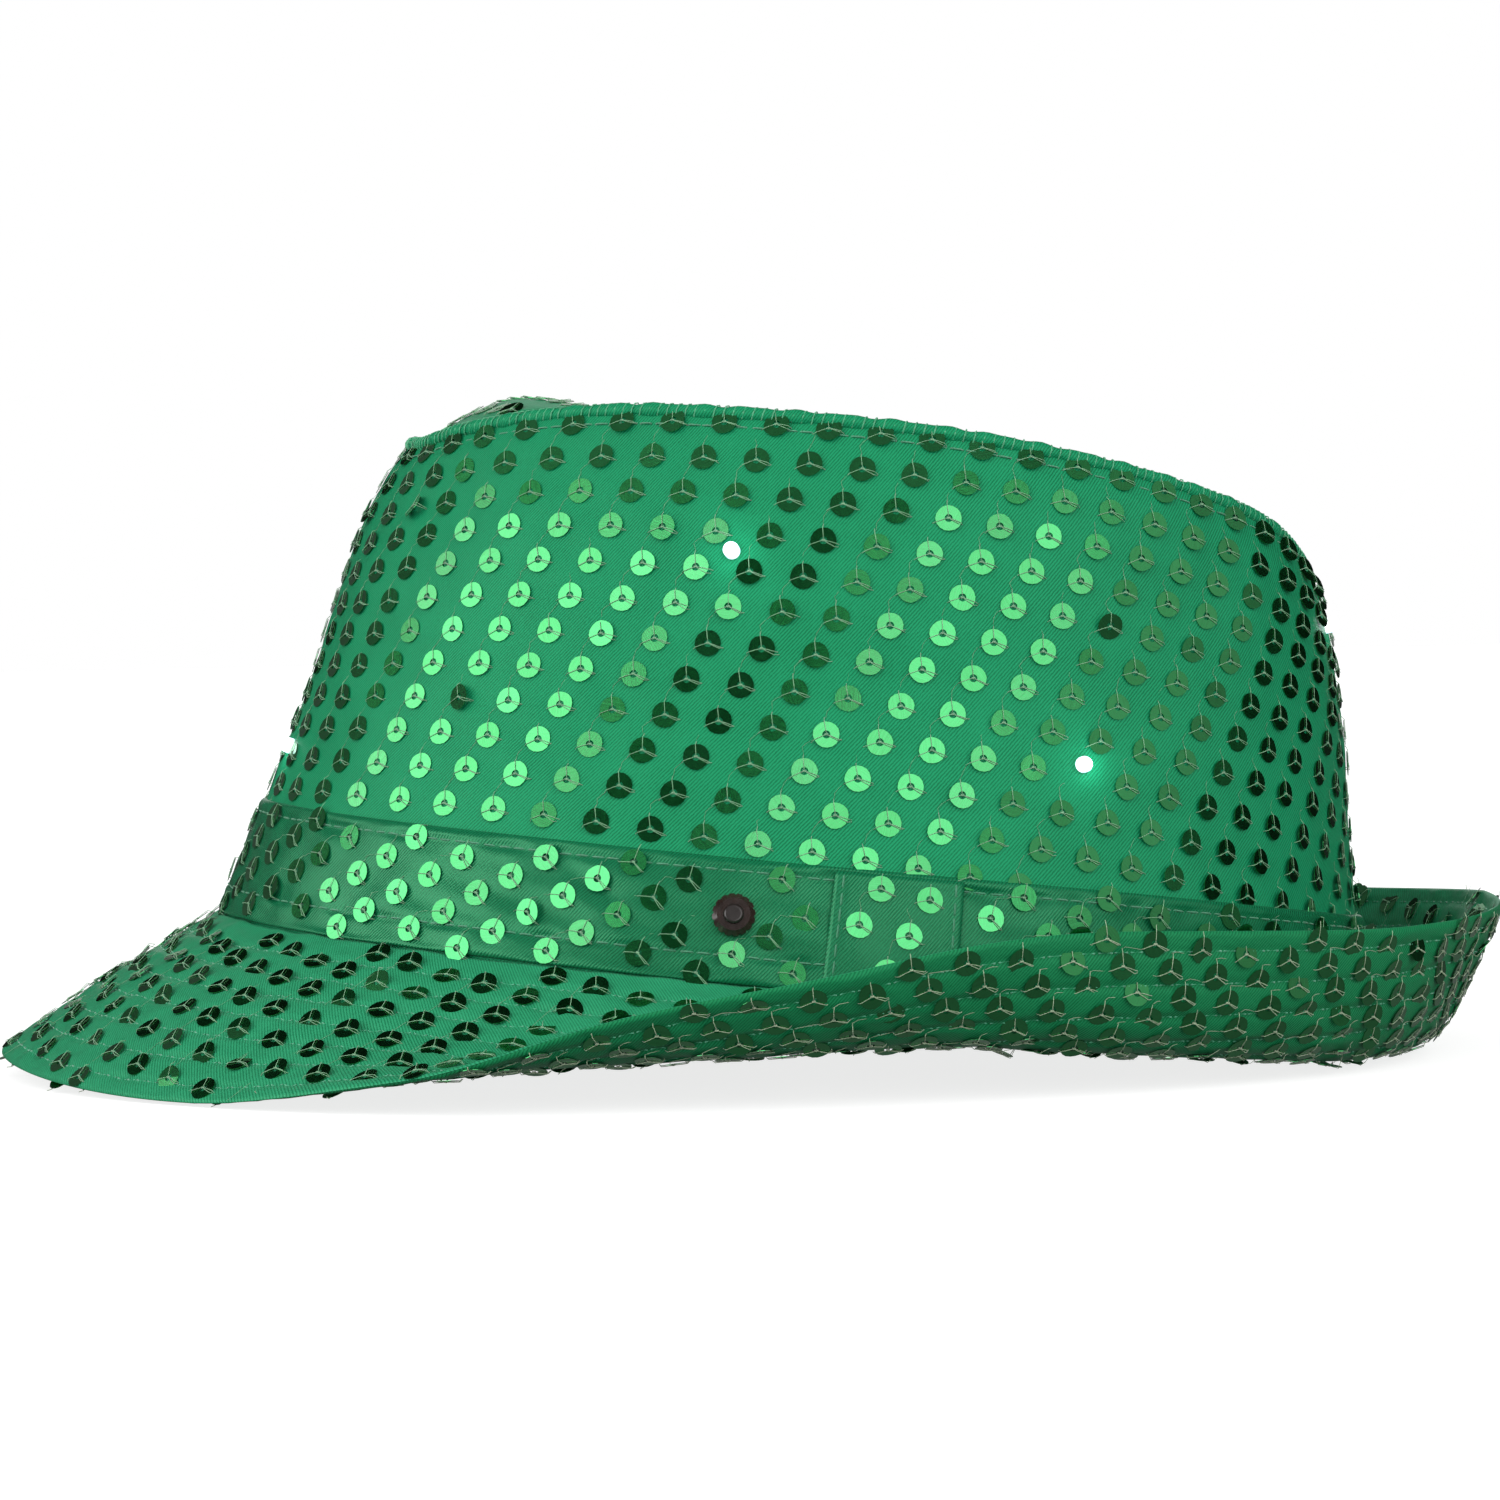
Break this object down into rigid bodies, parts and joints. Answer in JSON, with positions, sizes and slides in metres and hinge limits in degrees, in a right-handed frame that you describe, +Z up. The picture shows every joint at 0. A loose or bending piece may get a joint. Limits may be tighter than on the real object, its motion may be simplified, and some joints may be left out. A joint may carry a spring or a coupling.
{
  "type": "light-up sequin trilby hat",
  "caption": "Soft trilby in green sequin satin with a creased crown, snapped-up rear brim, folded band, LED lights and a push switch on the band.",
  "frame": {"origin": "middle of the bounding box on the surface that the hat stands on, on its brim", "axes": "front of the hat to -Y, wearer's left to +X, +Z up; the head opening is tipped 7.4 degrees nose up"},
  "size_m": [0.2502, 0.2905, 0.1271],
  "materials": {
    "green_satin": "woven satin, slightly glossy",
    "green_satin_band": "woven satin, folded",
    "buckram": "stiff open weave",
    "green_thread": "overlocked thread",
    "sweatband_satin": "matt polyester tape",
    "lining_net": "thin polyester lining",
    "led_epoxy": "clear epoxy, lit white",
    "wire_pvc": "thin insulated wire",
    "case_abs": "black moulded plastic",
    "bezel_plastic": "dark smoky plastic",
    "button_black": "black plastic",
    "board_fr4": "solder mask",
    "chip_epoxy": "black epoxy",
    "switch_grey": "pressed steel shell",
    "cell_steel": "coin cell can",
    "contact_steel": "nickel-plated spring steel"
  },
  "bodies": {
    "hat": {"crown_side_panel": "green_satin", "crown_tip_panel": "green_satin", "crown_stiffener": "buckram", "crown_seam_welt": "green_thread", "hatband": "green_satin_band", "hatband_tab": "green_satin_band", "brim_upper_ply": "green_satin", "brim_lower_ply": "green_satin", "brim_stiffener": "buckram", "sweatband": "sweatband_satin", "lining_side": "lining_net", "lining_tip": "lining_net", "harness_front": "wire_pvc", "harness_rear": "wire_pvc", "switch_case": "case_abs", "switch_bezel": "bezel_plastic", "circuit_board": "board_fr4", "tact_switch": "switch_grey", "driver_chip": "chip_epoxy", "led_resistor": "chip_epoxy", "battery_cell_front": "cell_steel", "battery_cell_back": "cell_steel", "contact_negative": "contact_steel", "contact_positive": "contact_steel", "led_lens_1": "led_epoxy", "led_lead_1": "wire_pvc", "led_lens_2": "led_epoxy", "led_lead_2": "wire_pvc", "led_lens_3": "led_epoxy", "led_lead_3": "wire_pvc", "led_lens_4": "led_epoxy", "led_lead_4": "wire_pvc", "led_lens_5": "led_epoxy", "led_lead_5": "wire_pvc", "led_lens_6": "led_epoxy", "led_lead_6": "wire_pvc"},
    "button": {"button_cap": "button_black"},
    "cover": {"battery_cover": "case_abs"}
  },
  "joints": [
    {"name": "button_press", "type": "slide", "parent": "hat", "child": "button", "axis": [-0.9688, 0.0768, -0.2356], "range_m": [0, 0.0008], "stiffness_N_per_m": 400, "springref_m": -0.0005},
    {"name": "battery_cover_slide", "type": "slide", "parent": "hat", "child": "cover", "axis": [-0.2245, 0.1302, 0.9657], "range_m": [0, 0.018]}
  ]
}
